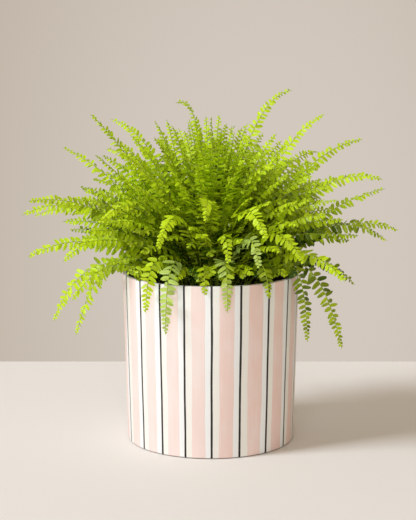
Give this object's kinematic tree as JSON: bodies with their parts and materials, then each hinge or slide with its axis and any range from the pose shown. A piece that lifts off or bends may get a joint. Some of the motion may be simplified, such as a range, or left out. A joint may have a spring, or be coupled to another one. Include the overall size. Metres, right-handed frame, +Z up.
{
  "type": "potted boston fern",
  "caption": "Boston fern with arching feathery fronds in a cylindrical ceramic planter with painted vertical stripes.",
  "frame": {"origin": "centre of the pot's flat foot, on the surface that the pot stands on", "axes": "+Z up, along the pot's axis; -Y is the front, where the picture was taken from; +X is to the right seen from the front"},
  "size_m": [0.421, 0.3519, 0.396],
  "materials": {
    "glazed_ceramic": "satin glaze with painted stripes",
    "potting_soil": "matte, crumbly",
    "rootstock": "matte, fibrous",
    "fern_leaf": "soft satin, living leaf"
  },
  "bodies": {
    "root": {"pot": "glazed_ceramic", "soil": "potting_soil", "rootstock": "rootstock", "frond_01": "fern_leaf", "frond_02": "fern_leaf", "frond_03": "fern_leaf", "frond_04": "fern_leaf", "frond_05": "fern_leaf", "frond_06": "fern_leaf", "frond_07": "fern_leaf", "frond_08": "fern_leaf", "frond_09": "fern_leaf", "frond_10": "fern_leaf", "frond_11": "fern_leaf", "frond_12": "fern_leaf", "frond_13": "fern_leaf", "frond_14": "fern_leaf", "frond_15": "fern_leaf", "frond_16": "fern_leaf", "frond_17": "fern_leaf", "frond_18": "fern_leaf", "frond_19": "fern_leaf", "frond_20": "fern_leaf", "frond_21": "fern_leaf", "frond_22": "fern_leaf", "frond_23": "fern_leaf", "frond_24": "fern_leaf", "frond_25": "fern_leaf", "frond_26": "fern_leaf", "frond_27": "fern_leaf", "frond_28": "fern_leaf", "frond_29": "fern_leaf", "frond_30": "fern_leaf", "frond_31": "fern_leaf", "frond_32": "fern_leaf", "frond_33": "fern_leaf", "frond_34": "fern_leaf", "frond_35": "fern_leaf", "frond_36": "fern_leaf", "frond_37": "fern_leaf", "frond_38": "fern_leaf", "frond_39": "fern_leaf", "frond_40": "fern_leaf", "frond_41": "fern_leaf", "frond_42": "fern_leaf", "frond_43": "fern_leaf", "frond_44": "fern_leaf", "frond_45": "fern_leaf", "frond_46": "fern_leaf", "frond_47": "fern_leaf", "frond_48": "fern_leaf", "frond_49": "fern_leaf", "frond_50": "fern_leaf", "frond_51": "fern_leaf", "frond_52": "fern_leaf", "frond_53": "fern_leaf", "frond_54": "fern_leaf", "frond_55": "fern_leaf", "frond_56": "fern_leaf", "frond_57": "fern_leaf"}
  },
  "joints": []
}
